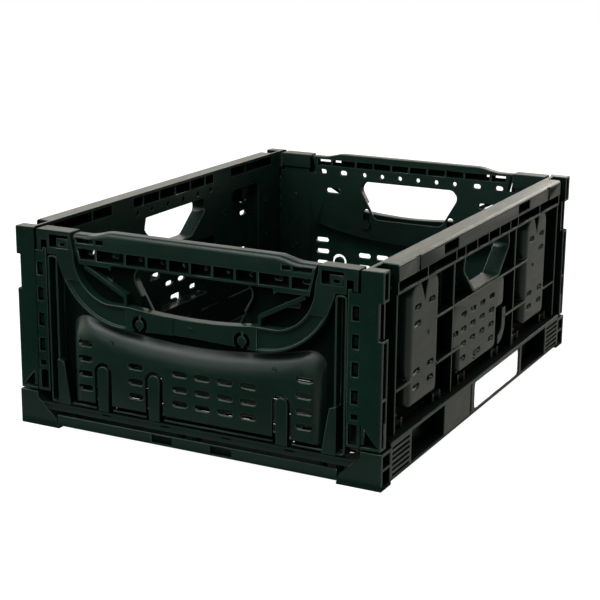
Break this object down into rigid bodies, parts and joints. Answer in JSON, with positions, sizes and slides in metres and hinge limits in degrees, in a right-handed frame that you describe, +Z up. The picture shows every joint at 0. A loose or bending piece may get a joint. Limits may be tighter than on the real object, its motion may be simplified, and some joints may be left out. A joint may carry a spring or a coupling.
{
  "type": "folding harvest crate",
  "caption": "Open dark plastic folding crate for harvest and transport, with slotted walls, hand openings, end walls that fold inward and sliding lock handles.",
  "frame": {"origin": "on the floor under the middle of the crate", "axes": "+Y along the long side, away from the end wall called front; +X across the crate to the side with the label; +Z up"},
  "size_m": [0.3, 0.4, 0.1556],
  "materials": {
    "crate_plastic": "satin moulded polypropylene",
    "label": "white film label"
  },
  "bodies": {
    "crate_body": {"base_tray": "crate_plastic", "long_wall_right": "crate_plastic", "long_wall_left": "crate_plastic", "label_blank": "label"},
    "end_wall_front": {"end_wall_front": "crate_plastic"},
    "end_wall_back": {"end_wall_back": "crate_plastic"},
    "lock_handle_front": {"lock_handle_front": "crate_plastic", "lock_spring_front_left": "crate_plastic", "lock_spring_front_right": "crate_plastic"},
    "lock_handle_back": {"lock_handle_back": "crate_plastic", "lock_spring_back_left": "crate_plastic", "lock_spring_back_right": "crate_plastic"}
  },
  "joints": [
    {"name": "front_wall_fold", "type": "hinge", "parent": "crate_body", "child": "end_wall_front", "pos_m": [0, -0.1925, 0.015], "axis": [-1, 0, 0], "range_deg": [0, 90]},
    {"name": "front_handle_lift", "type": "slide", "parent": "end_wall_front", "child": "lock_handle_front", "axis": [0, 0, 1], "range_m": [0, 0.007], "stiffness_N_per_m": 300, "springref_m": -0.003, "deforming": ["lock_spring_front_left", "lock_spring_front_right"]},
    {"name": "back_wall_fold", "type": "hinge", "parent": "crate_body", "child": "end_wall_back", "pos_m": [0, 0.1925, 0.015], "axis": [1, 0, 0], "range_deg": [0, 90]},
    {"name": "back_handle_lift", "type": "slide", "parent": "end_wall_back", "child": "lock_handle_back", "axis": [0, 0, 1], "range_m": [0, 0.007], "stiffness_N_per_m": 300, "springref_m": -0.003, "deforming": ["lock_spring_back_left", "lock_spring_back_right"]}
  ]
}
